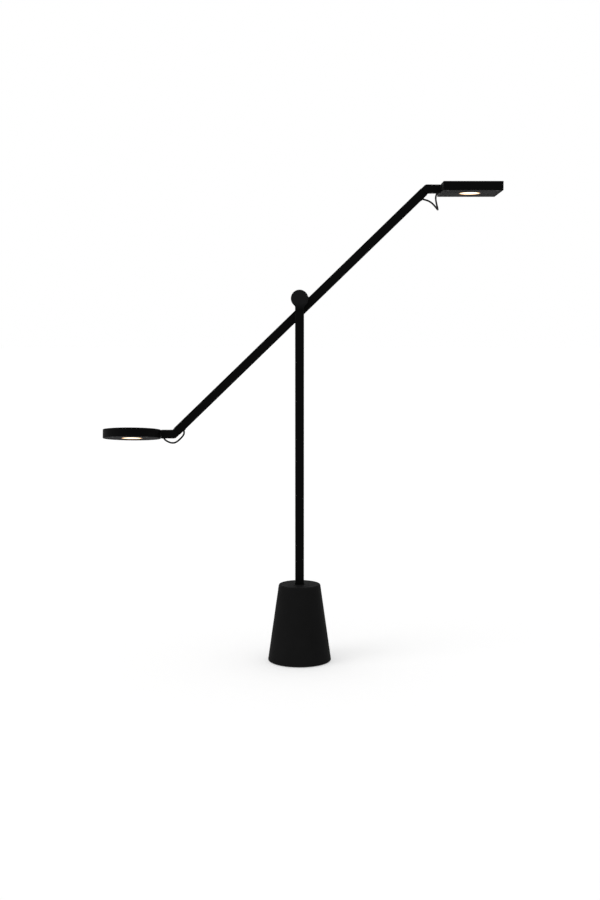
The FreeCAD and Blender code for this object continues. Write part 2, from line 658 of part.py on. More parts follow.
def pivot():
    """The axle fixed in the hub, with the pinion pressed on it and the nut that sets the arm's friction."""
    journal_start = PINION_REAR + SLIDING_FIT
    washer_front = COUNTERBORE_FLOOR
    nut_front = washer_front + WASHER_THICKNESS
    axle_end = nut_front + AXLE_NUT_THICKNESS + AXLE_THREAD_PROUD
    axle = hexagon(AXLE_HEAD_FLATS, CAVITY_FLOOR, AXLE_SEAT)
    axle = axle.fuse(rod(AXLE_RADIUS, (0, AXLE_SEAT, 0), (0, journal_start, 0)))
    axle = axle.fuse(rod(JOURNAL_RADIUS, (0, journal_start, 0), (0, washer_front, 0)))
    axle = axle.fuse(rod(AXLE_THREAD_RADIUS, (0, washer_front, 0), (0, axle_end, 0)))
    axle = axle.cut(rod(AXLE_BORE_RADIUS, (0, CAVITY_FLOOR - PAST, 0), (0, axle_end + PAST, 0)))
    at_hub = Placement(HUB_CENTRE, Rotation())
    save("pivot_axle", axle.removeSplitter(), at_hub)

    teeth = Part.Face(pinion_outline()).extrude(Y * PINION_WIDTH)
    spacer = rod(PINION_BOSS_RADIUS, (0, STEM_BACK, 0), (0, PINION_FRONT, 0))
    gear = teeth.fuse(spacer).cut(rod(AXLE_RADIUS, (0, STEM_BACK - PAST, 0), (0, PINION_REAR + PAST, 0)))
    save("pinion", gear.removeSplitter(), CARRIAGE)

    thread = rod(AXLE_THREAD_RADIUS, (0, washer_front - PAST, 0), (0, axle_end + PAST, 0))
    washer = rod(WASHER_RADIUS, (0, washer_front, 0), (0, nut_front, 0))
    save("axle_washer", washer.cut(thread), at_hub)
    nut = hexagon(AXLE_NUT_FLATS, nut_front, nut_front + AXLE_NUT_THICKNESS)
    save("axle_nut", nut.cut(thread), at_hub)


# ---- Carriage ----
def carriage_screw_places():
    """Along the arm from the point under the pivot."""
    return [-CARRIAGE_SCREW_SPACING / 2, CARRIAGE_SCREW_SPACING / 2]


def carriage():
    """The plate that turns on the axle behind the arm, and the shoe inside the arm that it carries."""
    half = CARRIAGE_RADIUS
    low = -ARM_DROP - CARRIAGE_TAIL
    plate = block(-half, half, CARRIAGE_FRONT, CARRIAGE_REAR, low, 0)
    corners = [e for e in plate.Edges if e.BoundBox.ZMax < low + NEAR and e.BoundBox.YLength > NEAR]
    plate = plate.makeFillet(CARRIAGE_CORNER, corners)
    plate = plate.fuse(rod(half, (0, CARRIAGE_FRONT, 0), (0, CARRIAGE_REAR, 0)))
    plate = plate.removeSplitter()
    boss_front = PINION_REAR + 2 * SLIDING_FIT
    plate = plate.fuse(rod(CARRIAGE_BOSS_RADIUS, (0, boss_front, 0), (0, CARRIAGE_FRONT + PAST, 0)))
    bush_radius = JOURNAL_RADIUS + RUNNING_FIT + BUSH_WALL
    plate = plate.cut(rod(bush_radius, (0, boss_front - PAST, 0), (0, CARRIAGE_REAR + PAST, 0)))
    plate = plate.cut(rod(COUNTERBORE_RADIUS, (0, COUNTERBORE_FLOOR, 0), (0, CARRIAGE_REAR + PAST, 0)))

    shoe_half = ARM_INSIDE / 2 - SLIDING_FIT
    shoe = block(
        -SHOE_LENGTH / 2,
        SHOE_LENGTH / 2,
        ARM_Y - shoe_half,
        ARM_Y + shoe_half,
        SHOE_BOTTOM - ARM_DROP,
        SHOE_TOP - ARM_DROP,
    )
    groove_half = SHOE_GROOVE_WIDTH / 2
    groove = block(
        -SHOE_LENGTH,
        SHOE_LENGTH,
        ARM_Y - groove_half,
        ARM_Y + groove_half,
        SHOE_BOTTOM - ARM_DROP - PAST,
        SHOE_BOTTOM + SHOE_GROOVE_DEPTH - ARM_DROP,
    )
    shoe = shoe.cut(groove)
    screws = []
    screw_length = CARRIAGE_REAR - (ARM_Y + shoe_half) + CARRIAGE_SCREW_GRIP
    for x in carriage_screw_places():
        screw = countersunk_screw(
            (x, CARRIAGE_REAR, -ARM_DROP - CARRIAGE_SCREW_DROP),
            (0, -1, 0),
            screw_length,
            CARRIAGE_SCREW_RADIUS,
            CARRIAGE_SCREW_HEAD_RADIUS,
            CARRIAGE_SCREW_HEAD_DEPTH,
        )
        plate, shoe = plate.cut(screw), shoe.cut(screw)
        screws.append(screw)
    save("carriage_plate", plate, CARRIAGE)
    save("slide_shoe", shoe, CARRIAGE)
    save("carriage_screws", screws, CARRIAGE)

    bush = rod(bush_radius, (0, boss_front, 0), (0, COUNTERBORE_FLOOR, 0))
    journal = rod(JOURNAL_RADIUS + RUNNING_FIT, (0, boss_front - PAST, 0), (0, CARRIAGE_REAR, 0))
    save("carriage_bush", bush.cut(journal), CARRIAGE)

    cap_rear = CARRIAGE_REAR + REAR_CAP_HEIGHT
    cap = rod(REAR_CAP_RADIUS, (0, CARRIAGE_REAR, 0), (0, cap_rear, 0))
    cap = around_edge(cap, lambda box: box.YMin > cap_rear - NEAR, REAR_CAP_ROUND)
    inside_end = (0, cap_rear - REAR_CAP_WALL, 0)
    inside = rod(REAR_CAP_RADIUS - REAR_CAP_WALL, (0, CARRIAGE_REAR - PAST, 0), inside_end)
    save("carriage_cap", cap.cut(inside), CARRIAGE)


# ---- Arm ----
def plug_screw(back):
    """A screw from the arm's back face into an end's plug; back is the side it is on."""
    return countersunk_screw(
        (-PLUG_SCREW_PLACE, back * ARM_WIDTH / 2, 0),
        (0, -back, 0),
        PLUG_SCREW_LENGTH,
        PLUG_SCREW_RADIUS,
        PLUG_SCREW_HEAD_RADIUS,
        PLUG_SCREW_HEAD_DEPTH,
    )


def on_hole_axis(grommet_sizes, out):
    """A point on a grommet's leaning hole, that far outside the face; the hole crosses the bush's middle."""
    place, lean, _, length, surface = grommet_sizes
    return Vector(place + (out + length / 2) * math.tan(lean), 0, surface - out)


def grommet(grommet_sizes):
    """A soft bush in a lower face, with a lip outside and a leaning hole for the cable."""
    place, _, radius, length, surface = grommet_sizes
    bush = rod(radius, (place, 0, surface), (place, 0, surface + length))
    lip = rod(radius + GROMMET_LIP, (place, 0, surface - GROMMET_LIP_THICKNESS), (place, 0, surface))
    hole = rod(
        CABLE_RADIUS + RUNNING_FIT,
        on_hole_axis(grommet_sizes, -2 * length),
        on_hole_axis(grommet_sizes, 2 * length),
    )
    return bush.fuse(lip).cut(hole).removeSplitter()


def end_frames(sign):
    """An elbow's place, seen from the arm and from the bracket; X points away from the arm's middle."""
    elbow = ARM_CENTRE + ALONG * (sign * ELBOW_SPACING / 2)
    about = Rotation() if sign > 0 else HALF_TURN
    return Placement(elbow, ARM_TURN.multiply(about)), Placement(elbow, about)


def arm():
    """The square tube with the rack set in its upper face, and the lead inside it."""
    half_length = ELBOW_SPACING / 2 - ARM_END_GAP
    tube = square_bar(ARM_WIDTH, -half_length, half_length, ARM_CORNER)
    tube = tube.cut(square_bar(ARM_INSIDE, -half_length - PAST, half_length + PAST))

    pinion_dip = math.sqrt((PITCH_RADIUS + GEAR_MODULE) ** 2 - (ARM_DROP - ARM_WIDTH / 2) ** 2)
    first = math.floor((CONTACT_LOWEST - pinion_dip - CONTACT_AT_REST) / TOOTH_PITCH)
    last = math.ceil((CONTACT_HIGHEST + pinion_dip - CONTACT_AT_REST) / TOOTH_PITCH)
    rack_start = CONTACT_AT_REST + (first - 0.5) * TOOTH_PITCH
    rack_end = CONTACT_AT_REST + (last + 0.5) * TOOTH_PITCH
    slot_half = RACK_RIDGE_WIDTH / 2 + RACK_SLOT_MARGIN
    tube = tube.cut(block(rack_start, rack_end, -slot_half, slot_half, 0, ARM_WIDTH))

    body_half = ARM_INSIDE / 2 - SEAT_FIT
    ridge_half = RACK_RIDGE_WIDTH / 2
    rack = block(rack_start, rack_end, -body_half, body_half, RACK_BODY_BOTTOM, RACK_BODY_TOP)
    rack = rack.fuse(block(rack_start, rack_end, -ridge_half, ridge_half, RACK_BODY_TOP, RACK_ROOT))
    spread = math.tan(PRESSURE_ANGLE)
    half_pitch_tooth = (TOOTH_PITCH / 2 - GEAR_BACKLASH / 2) / 2
    half_foot = half_pitch_tooth + (RACK_PITCH_LINE - RACK_ROOT) * spread
    half_tip = half_pitch_tooth - (RACK_TIP - RACK_PITCH_LINE) * spread
    for number in range(first, last + 1):
        middle = CONTACT_AT_REST + number * TOOTH_PITCH
        outline = [
            Vector(middle - half_foot, -ridge_half, RACK_ROOT),
            Vector(middle - half_tip, -ridge_half, RACK_TIP),
            Vector(middle + half_tip, -ridge_half, RACK_TIP),
            Vector(middle + half_foot, -ridge_half, RACK_ROOT),
        ]
        rack = rack.fuse(prism(outline, Y * RACK_RIDGE_WIDTH))

    slot_radius = CARRIAGE_SCREW_RADIUS + SCREW_SLOT_MARGIN
    slot_start = CONTACT_LOWEST - CARRIAGE_SCREW_SPACING / 2
    slot_end = CONTACT_HIGHEST + CARRIAGE_SCREW_SPACING / 2
    slot_level = -CARRIAGE_SCREW_DROP
    slot = block(slot_start, slot_end, 0, ARM_WIDTH, slot_level - slot_radius, slot_level + slot_radius)
    for x in (slot_start, slot_end):
        slot = slot.fuse(rod(slot_radius, (x, 0, slot_level), (x, ARM_WIDTH, slot_level)))
    tube = tube.cut(slot)

    for sign in (-1, 1):
        local = Placement(Vector(sign * ELBOW_SPACING / 2, 0, 0), Rotation() if sign > 0 else HALF_TURN)
        hole = rod(ARM_GROMMET_RADIUS, (-ARM_GROMMET_PLACE, 0, -ARM_WIDTH), (-ARM_GROMMET_PLACE, 0, 0))
        for tool in (hole, plug_screw(sign)):
            tool.Placement = local
            tube = tube.cut(tool)
    save("arm_tube", tube, ARM)
    save("rack", rack.removeSplitter(), ARM)
    lead_half = ELBOW_SPACING / 2 - LEAD_END_GAP
    save("arm_lead", rod(LEAD_RADIUS, (-lead_half, 0, LEAD_LINE), (lead_half, 0, LEAD_LINE)), ARM)


def arm_end(name, sign):
    """The knuckle in the end of the arm: a plug inside the tube, and a round-ended tongue."""
    frame, _ = end_frames(sign)
    plug_half = ARM_INSIDE / 2 - SEAT_FIT
    tongue_half = TONGUE_WIDTH / 2
    shoulder = square_bar(ARM_WIDTH, -ARM_END_GAP, -KNUCKLE_REACH, ARM_CORNER)
    plug_end = -ARM_END_GAP - PLUG_LENGTH
    plug = block(plug_end, -ARM_END_GAP, -plug_half, plug_half, -plug_half, plug_half)
    half_groove = PLUG_GROOVE_WIDTH / 2
    groove_end = -ARM_GROMMET_PLACE
    groove_top = PLUG_GROOVE_DEPTH - plug_half
    groove = block(plug_end - PAST, groove_end, -half_groove, half_groove, -ARM_WIDTH, groove_top)
    cable_hole = rod(ARM_GROMMET_RADIUS, (groove_end, 0, -ARM_WIDTH), (groove_end, 0, groove_top))
    plug = plug.cut(groove).cut(cable_hole).cut(plug_screw(sign))
    tongue = block(-KNUCKLE_REACH - PAST, 0, -tongue_half, tongue_half, -KNUCKLE_RADIUS, KNUCKLE_RADIUS)
    tongue = tongue.fuse(rod(KNUCKLE_RADIUS, (0, -tongue_half, 0), (0, tongue_half, 0)))
    knuckle = shoulder.fuse(plug).fuse(tongue)
    pin_hole = rod(ELBOW_PIN_RADIUS + RUNNING_FIT, (0, -ARM_WIDTH, 0), (0, ARM_WIDTH, 0))
    save(f"{name}_arm_end", knuckle.cut(pin_hole).removeSplitter(), frame)


def arm_fasteners():
    """The two ends' screws, and the grommets that the jumper cables leave by."""
    screws, grommets = [], []
    for sign in (-1, 1):
        frame, _ = end_frames(sign)
        for piece, group in ((plug_screw(sign), screws), (grommet(ARM_GROMMET), grommets)):
            piece.Placement = frame
            group.append(piece)
    save("arm_end_screws", screws)
    save("arm_grommets", grommets)


# ---- Brackets ----
def bracket(name, sign):
    """The short link between the arm and a head: a fork at the elbow and a bore for the head's neck."""
    _, frame = end_frames(sign)
    half = BRACKET_WIDTH / 2
    ear_inside = half - BRACKET_EAR
    body = square_bar(BRACKET_WIDTH, KNUCKLE_REACH, BRACKET_LENGTH, BRACKET_CORNER)
    for side in (-1, 1):
        low, high = sorted((side * ear_inside, side * half))
        ear = block(0, KNUCKLE_REACH + PAST, low, high, -KNUCKLE_RADIUS, KNUCKLE_RADIUS)
        body = body.fuse(ear).fuse(rod(KNUCKLE_RADIUS, (0, low, 0), (0, high, 0)))
    body = body.removeSplitter()
    near, back = -sign, sign  # sides of the frame that face the viewer and the wall
    head_seat, screw_tip = back * (half - ELBOW_HEAD_THICKNESS), near * (half - ELBOW_SKIN)
    body = body.cut(rod(ELBOW_PIN_RADIUS, (0, screw_tip, 0), (0, head_seat, 0)))
    head_hole = rod(ELBOW_HEAD_RADIUS + SEAT_FIT, (0, head_seat, 0), (0, back * (half + PAST), 0))
    body = body.cut(head_hole)
    bore_start = BRACKET_LENGTH - NECK_BORE_DEPTH
    body = body.cut(rod(NECK_RADIUS + RUNNING_FIT, (bore_start, 0, 0), (BRACKET_LENGTH + PAST, 0, 0)))
    body = body.cut(
        rod(
            BRACKET_GROMMET_RADIUS,
            (BRACKET_GROMMET_PLACE, 0, -ARM_WIDTH),
            (BRACKET_GROMMET_PLACE, 0, BRACKET_GROMMET_LENGTH - half),
        )
    )
    grub_x = BRACKET_LENGTH - NECK_GROOVE_PLACE
    grub_tip = NECK_RADIUS - NECK_GROOVE_DEPTH + GRUB_TIP_GAP
    body = body.cut(rod(GRUB_RADIUS, (grub_x, 0, 0), (grub_x, back * (half + PAST), 0)))
    save(f"{name}_bracket", body, frame)
    grub = rod(GRUB_RADIUS, (grub_x, back * grub_tip, 0), (grub_x, back * (half - GRUB_SINK), 0))
    save(f"{name}_grub_screw", grub, frame)

    screw = rod(ELBOW_PIN_RADIUS, (0, screw_tip, 0), (0, head_seat, 0))
    screw = screw.fuse(rod(ELBOW_HEAD_RADIUS, (0, head_seat, 0), (0, back * half, 0)))
    save(f"{name}_elbow_screw", screw.removeSplitter(), frame)
    pin = rod(ELBOW_PIN_RADIUS, (0, -half, 0), (0, half, 0))
    washers = []
    for side in (-1, 1):
        inner, outer = side * TONGUE_WIDTH / 2, side * ear_inside
        washer = rod(ELBOW_WASHER_RADIUS, (0, inner, 0), (0, outer, 0))
        washers.append(washer.cut(pin))
    save(f"{name}_elbow_washers", washers, frame)
    save(f"{name}_bracket_grommet", grommet(BRACKET_GROMMET), frame)


# ---- Jumper cables ----
# Each route is seen from its elbow, X right, Y away and Z up, and runs from the arm to the bracket.
UPPER_ROUTE = [
    (3.0, -3.0, -23.4),
    (9.8, -7.2, -28.0),
    (15.6, -9.8, -34.6),
    (20.1, -6.6, -39.4),
    (22.8, 0.4, -41.2),
    (23.2, 7.6, -38.2),
    (21.9, 10.8, -31.6),
    (20.0, 9.2, -24.6),
    (18.4, 3.4, -18.0),
]
LOWER_ROUTE = [
    (18.6, 0.6, -3.4),
    (11.4, 1.8, -11.2),
    (2.6, 2.2, -18.0),
    (-5.6, 1.8, -18.6),
    (-12.9, 0.8, -15.6),
]


def jumper_cable(name, sign, route):
    """The cable that loops past an elbow, from the arm's grommet to the bracket's."""
    arm_frame, bracket_frame = end_frames(sign)
    start = [arm_frame.multVec(on_hole_axis(ARM_GROMMET, out)) for out in (-CABLE_SEAT, CABLE_EXIT)]
    end = [bracket_frame.multVec(on_hole_axis(BRACKET_GROMMET, out)) for out in (CABLE_EXIT, -CABLE_SEAT)]
    points = start + [arm_frame.Base + Vector(*point) for point in route] + end
    save(f"{name}_jumper_cable", cable(points, CABLE_RADIUS, name))


# ---- Heads ----
def head_plan(shape, inset, z_low, z_high):
    """The head's outline, drawn in by inset, between two heights."""
    centre = HEAD_START + HEAD_SIZE / 2
    half = HEAD_SIZE / 2 - inset
    if shape == "round":
        return rod(half, (centre, 0, z_low), (centre, 0, z_high))
    plan = block(centre - half, centre + half, -half, half, z_low, z_high)
    corner = SQUARE_CORNER - inset
    if corner > 0:
        plan = plan.makeFillet(corner, [e for e in plan.Edges if e.BoundBox.ZLength > (z_high - z_low) / 2])
    return plan


def cover_screw_places(shape):
    """Where a head's cover is screwed to the housing."""
    centre = HEAD_START + HEAD_SIZE / 2
    reach = HEAD_SIZE / 2 - HEAD_WALL - COVER_SCREW_INSET
    if shape == "square":
        reach *= math.sqrt(2)
    angles = [(k + 0.5) * 2 * math.pi / COVER_SCREW_COUNT for k in range(COVER_SCREW_COUNT)]
    return [(centre + reach * math.cos(a), reach * math.sin(a)) for a in angles]


def head(name, shape, sign, roll, spreader_thickness):
    """One lamp head on its neck, rolled about the bracket's axis as photographed."""
    _, frame = end_frames(sign)
    frame = frame.multiply(Placement(Vector(), Rotation(X, math.degrees(roll))))
    centre = HEAD_START + HEAD_SIZE / 2
    top, bottom = HEAD_THICKNESS / 2, -HEAD_THICKNESS / 2

    neck_start = BRACKET_LENGTH - NECK_BORE_DEPTH + OPEN_GAP
    flange_start = HEAD_START + HEAD_WALL
    neck = rod(NECK_RADIUS, (neck_start, 0, 0), (flange_start, 0, 0))
    flange_end = flange_start + NECK_FLANGE_THICKNESS
    neck = neck.fuse(rod(NECK_FLANGE_RADIUS, (flange_start, 0, 0), (flange_end, 0, 0)))
    neck = neck.cut(rod(NECK_BORE_RADIUS, (0, 0, 0), (centre, 0, 0)))
    groove_middle = BRACKET_LENGTH - NECK_GROOVE_PLACE
    groove_ends = [(groove_middle + side * NECK_GROOVE_WIDTH / 2, 0, 0) for side in (-1, 1)]
    groove = rod(NECK_RADIUS + PAST, *groove_ends).cut(rod(NECK_RADIUS - NECK_GROOVE_DEPTH, *groove_ends))
    save(f"{name}_neck", neck.cut(groove), frame)

    housing = head_plan(shape, 0, bottom, top)
    edges = [e for e in housing.Edges if e.BoundBox.ZLength < NEAR and e.BoundBox.DiagonalLength > HEAD_EDGE]
    housing = housing.makeFillet(HEAD_EDGE, edges)
    housing = housing.cut(head_plan(shape, HEAD_WALL, bottom - PAST, CAVITY_TOP))
    housing = housing.cut(rod(NECK_RADIUS, (0, 0, 0), (centre, 0, 0)))
    flange_space = rod(NECK_FLANGE_RADIUS + SEAT_FIT, (flange_start, 0, 0), (centre, 0, 0))
    housing = housing.cut(flange_space)
    screws = []
    cover = head_plan(shape, HEAD_WALL + 2 * SEAT_FIT, COVER_BOTTOM, COVER_TOP)
    for x, y in cover_screw_places(shape):
        screw = countersunk_screw(
            (x, y, COVER_BOTTOM),
            (0, 0, 1),
            COVER_THICKNESS + COVER_SCREW_GRIP,
            COVER_SCREW_RADIUS,
            COVER_SCREW_HEAD_RADIUS,
            COVER_SCREW_HEAD_DEPTH,
        )
        post = rod(COVER_POST_RADIUS, (x, y, COVER_TOP), (x, y, CAVITY_TOP + PAST))
        housing = housing.fuse(post).cut(screw)
        cover = cover.cut(screw)
        screws.append(screw)
    save(f"{name}_housing", housing.removeSplitter(), frame)
    save(f"{name}_cover_screws", screws, frame)
    cover = cover.cut(rod(REFLECTOR_RADIUS + SEAT_FIT, (centre, 0, bottom - PAST), (centre, 0, top)))
    save(f"{name}_cover", cover, frame)

    spreader_bottom = CAVITY_TOP - spreader_thickness
    board_bottom = spreader_bottom - BOARD_THICKNESS
    spreader = rod(SPREADER_RADIUS, (centre, 0, spreader_bottom), (centre, 0, CAVITY_TOP))
    for x, y in cover_screw_places(shape):
        spreader = spreader.cut(rod(COVER_POST_RADIUS + OPEN_GAP, (x, y, bottom), (x, y, top)))
    save(f"{name}_heat_spreader", spreader, frame)
    board = rod(BOARD_RADIUS, (centre, 0, board_bottom), (centre, 0, spreader_bottom))
    chip_bottom = (centre, 0, board_bottom - CHIP_THICKNESS)
    board = board.fuse(rod(CHIP_RADIUS, chip_bottom, (centre, 0, board_bottom)))
    save(f"{name}_led_board", board, frame)

    diffuser_bottom = COVER_BOTTOM + DIFFUSER_RECESS
    diffuser_top = diffuser_bottom + DIFFUSER_THICKNESS
    seat_radius = DIFFUSER_RADIUS + SEAT_FIT
    lip_top = COVER_BOTTOM + REFLECTOR_LIP_HEIGHT
    reflector = revolved(
        [
            (seat_radius, COVER_BOTTOM),
            (REFLECTOR_RADIUS, COVER_BOTTOM),
            (REFLECTOR_RADIUS, lip_top),
            (REFLECTOR_MOUTH + REFLECTOR_WALL, board_bottom),
            (REFLECTOR_MOUTH, board_bottom),
            (seat_radius - REFLECTOR_WALL, diffuser_top),
            (seat_radius, diffuser_top),
        ]
    )
    reflector.translate(Vector(centre, 0, 0))
    save(f"{name}_reflector", reflector, frame)
    diffuser = rod(DIFFUSER_RADIUS, (centre, 0, diffuser_bottom), (centre, 0, diffuser_top))
    save(f"{name}_diffuser", diffuser, frame)
    metal = sum(piece.Volume for piece in (housing, cover, spreader))
    print(f"{name}: housing, cover and heat spreader hold {metal / 1000:.1f} cm3 of aluminium")


base_casting()
base_underside()
base_fittings()
stem()
hub()
pivot()
carriage()
arm()
arm_fasteners()
for side_name, side in (("lower", -1), ("upper", 1)):
    arm_end(side_name, side)
    bracket(side_name, side)
jumper_cable("lower", -1, LOWER_ROUTE)
jumper_cable("upper", 1, UPPER_ROUTE)
head("round_head", "round", -1, ROUND_HEAD_ROLL, ROUND_SPREADER_THICKNESS)
head("square_head", "square", 1, SQUARE_HEAD_ROLL, SQUARE_SPREADER_THICKNESS)
print(f"pivot {HUB_CENTRE}, arm middle {ARM_CENTRE}, along {ALONG}")
for joint, low, high in (
    ("arm tilt", LOWEST_TILT, HIGHEST_TILT),
    ("lower elbow", -ELBOW_LIMIT - ARM_ANGLE, ELBOW_LIMIT - ARM_ANGLE),
    ("upper elbow", ARM_ANGLE - ELBOW_LIMIT, ARM_ANGLE + ELBOW_LIMIT),
    ("round head roll", -HEAD_ROLL_LIMIT - ROUND_HEAD_ROLL, HEAD_ROLL_LIMIT - ROUND_HEAD_ROLL),
    ("square head roll", -HEAD_ROLL_LIMIT - SQUARE_HEAD_ROLL, HEAD_ROLL_LIMIT - SQUARE_HEAD_ROLL),
):
    print(f"{joint}: {math.degrees(low):.2f} to {math.degrees(high):.2f} degrees")
for side in (-1, 1):
    print("elbow", end_frames(side)[1].Base)
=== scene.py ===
"""A black balance desk lamp: a round and a square lamp head on a long arm, over a slim stem and a cone base.

Metres. X points right, Y away from the viewer, Z up, and the stem's axis meets the table at the origin.
"""

import json
import math

import bpy
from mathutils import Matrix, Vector


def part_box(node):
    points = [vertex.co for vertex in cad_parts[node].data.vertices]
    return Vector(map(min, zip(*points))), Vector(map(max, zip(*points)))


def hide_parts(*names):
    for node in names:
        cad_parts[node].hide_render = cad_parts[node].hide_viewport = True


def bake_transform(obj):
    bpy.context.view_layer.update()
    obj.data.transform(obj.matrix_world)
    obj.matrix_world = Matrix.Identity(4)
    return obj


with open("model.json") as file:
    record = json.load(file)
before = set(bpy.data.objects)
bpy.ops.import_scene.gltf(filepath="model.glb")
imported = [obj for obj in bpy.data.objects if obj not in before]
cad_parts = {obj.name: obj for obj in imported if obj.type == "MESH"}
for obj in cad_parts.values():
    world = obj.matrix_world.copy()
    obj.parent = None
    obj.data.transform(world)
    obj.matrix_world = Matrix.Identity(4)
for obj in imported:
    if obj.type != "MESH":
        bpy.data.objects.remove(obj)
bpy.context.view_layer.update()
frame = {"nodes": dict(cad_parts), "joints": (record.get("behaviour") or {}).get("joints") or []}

# ---- Camera ----
# The lamp is seen from straight in front, from a little under the hub's height, through a longish lens that
# looks slightly down.
PHOTO_LONG_SIDE = 900  # pixels
FOCAL_LENGTH = 1300  # pixels
SENSOR = 36.0  # millimetres
CAMERA_PLACE = (0.0009, -2.626, 0.697)
CAMERA_DIP = math.radians(5.7)

camera = bpy.data.objects.new("camera", bpy.data.cameras.new("camera"))
camera.data.sensor_fit = "AUTO"
camera.data.sensor_width = SENSOR
camera.data.lens = SENSOR * FOCAL_LENGTH / PHOTO_LONG_SIDE
camera.location = CAMERA_PLACE
camera.rotation_euler = (math.pi / 2 - CAMERA_DIP, 0, 0)
bpy.context.collection.objects.link(camera)
bpy.context.scene.camera = camera

# ---- Jumper cables ----
# Two short round leads with a soft matt black silicone jacket. Each comes out of a grommet under the end of
# the arm, hangs in a small loop past the elbow, and goes into a grommet under the bracket.
CABLE_RADIUS = 0.0018
CABLE_SIDES = 20
CABLE_COLOUR = (0.0045, 0.0045, 0.0048)
ROUTE_RESOLUTION = 16
NOISE_RANGE = (0.3, 0.7)  # where most of a noise texture's values lie
# Places seen from the elbow's joint, from inside the arm's grommet to inside the bracket's.
UPPER_ROUTE = [
    (-0.00943, 0.00000, -0.01951),
    (-0.00388, 0.00000, -0.02110),
    (0.0030, -0.0030, -0.0234),
    (0.0098, -0.0072, -0.0280),
    (0.0156, -0.0098, -0.0346),
    (0.0201, -0.0066, -0.0394),
    (0.0228, 0.0004, -0.0412),
    (0.0232, 0.0076, -0.0382),
    (0.0219, 0.0108, -0.0316),
    (0.0200, 0.0092, -0.0246),
    (0.0184, 0.0034, -0.0180),
    (0.01895, 0.00000, -0.01190),
    (0.02161, 0.00000, -0.00690),
]
LOWER_ROUTE = [
    (0.01984, 0.00000, 0.00871),
    (0.02123, 0.00000, 0.00311),
    (0.0186, 0.0006, -0.0034),
    (0.0114, 0.0018, -0.0112),
    (0.0026, 0.0022, -0.0180),
    (-0.0056, 0.0018, -0.0186),
    (-0.0129, 0.0008, -0.0156),
    (-0.01895, 0.00000, -0.01190),
    (-0.02161, 0.00000, -0.00690),
]
joint_place = {joint["name"]: Vector(joint["pos_m"]) for joint in frame["joints"] if "pos_m" in joint}


def finish(name, metallic=0.0, specular=0.5):
    """A new material, with its node tree, its shader and its place in the piece's own frame."""
    material = bpy.data.materials.new(name)
    material.use_nodes = True
    nodes = material.node_tree.nodes
    shader = nodes["Principled BSDF"]
    shader.inputs["Metallic"].default_value = metallic
    shader.inputs["Specular IOR Level"].default_value = specular
    place = nodes.new("ShaderNodeTexCoord").outputs["Object"]
    return material, nodes, material.node_tree.links, shader, place


def noise(nodes, links, place, size, detail=3.0):
    """Grain of about that size in metres, as a value around a half."""
    texture = nodes.new("ShaderNodeTexNoise")
    texture.inputs["Scale"].default_value = 1 / size
    texture.inputs["Detail"].default_value = detail
    links.new(place, texture.inputs["Vector"])
    return texture.outputs["Fac"]


def spread(nodes, links, value, low, high):
    """The grain's middle range spread over low to high."""
    ramp = nodes.new("ShaderNodeMapRange")
    ramp.inputs["From Min"].default_value = NOISE_RANGE[0]
    ramp.inputs["From Max"].default_value = NOISE_RANGE[1]
    ramp.inputs["To Min"].default_value = low
    ramp.inputs["To Max"].default_value = high
    links.new(value, ramp.inputs["Value"])
    return ramp.outputs["Result"]


def tone(nodes, links, value, first, last, start=0.0, end=1.0, blend="LINEAR"):
    """A colour that turns into another between two values; CONSTANT keeps the first one up to the end."""
    ramp = nodes.new("ShaderNodeValToRGB")
    ramp.color_ramp.interpolation = blend
    ramp.color_ramp.elements[0].position = start
    ramp.color_ramp.elements[0].color = (*first, 1)
    ramp.color_ramp.elements[1].position = end
    ramp.color_ramp.elements[1].color = (*last, 1)
    links.new(value, ramp.inputs["Fac"])
    return ramp.outputs["Color"]


def bump(nodes, links, shader, value, height):
    """Relief of that height in metres on the shader."""
    relief = nodes.new("ShaderNodeBump")
    relief.inputs["Distance"].default_value = height
    links.new(value, relief.inputs["Height"])
    links.new(relief.outputs["Normal"], shader.inputs["Normal"])


def shade(colour, share):
    """The colour made lighter or darker by a share of itself."""
    return tuple(channel * share for channel in colour)


def grained(name, colour, roughness, grain, height, mottle=0.03, contrast=0.16, metallic=0.0, specular=0.5):
    """A coated or moulded finish: fine relief, and soft clouds of tone that the roughness follows."""
    material, nodes, links, shader, place = finish(name, metallic, specular)
    fine = noise(nodes, links, place, grain)
    clouds = noise(nodes, links, place, mottle, detail=5.0)
    level = spread(nodes, links, clouds, 0.0, 1.0)
    dark, light = shade(colour, 1 - contrast), shade(colour, 1 + contrast)
    links.new(tone(nodes, links, level, dark, light), shader.inputs["Base Color"])
    links.new(spread(nodes, links, clouds, *roughness), shader.inputs["Roughness"])
    bump(nodes, links, shader, fine, height)
    return material


def wear(material, *nodes):
    """Gives CAD pieces a finish."""
    for name in nodes:
        piece = frame["nodes"][name]
        piece.data.materials.clear()
        piece.data.materials.append(material)


def smooth_line(name, points):
    """Points along the NURBS curve that has the route's points as its control points."""
    curve = bpy.data.curves.new(name, "CURVE")
    curve.dimensions = "3D"
    curve.resolution_u = ROUTE_RESOLUTION
    spline = curve.splines.new("NURBS")
    spline.points.add(len(points) - 1)
    for knot, point in zip(spline.points, points):
        knot.co = (*point, 1)
    spline.order_u = 3
    spline.use_endpoint_u = True
    holder = bpy.data.objects.new(name, curve)
    bpy.context.collection.objects.link(holder)
    bpy.context.view_layer.update()
    line = bpy.data.meshes.new_from_object(holder.evaluated_get(bpy.context.evaluated_depsgraph_get()))
    places = [vertex.co.copy() for vertex in line.vertices]
    bpy.data.objects.remove(holder)
    return places


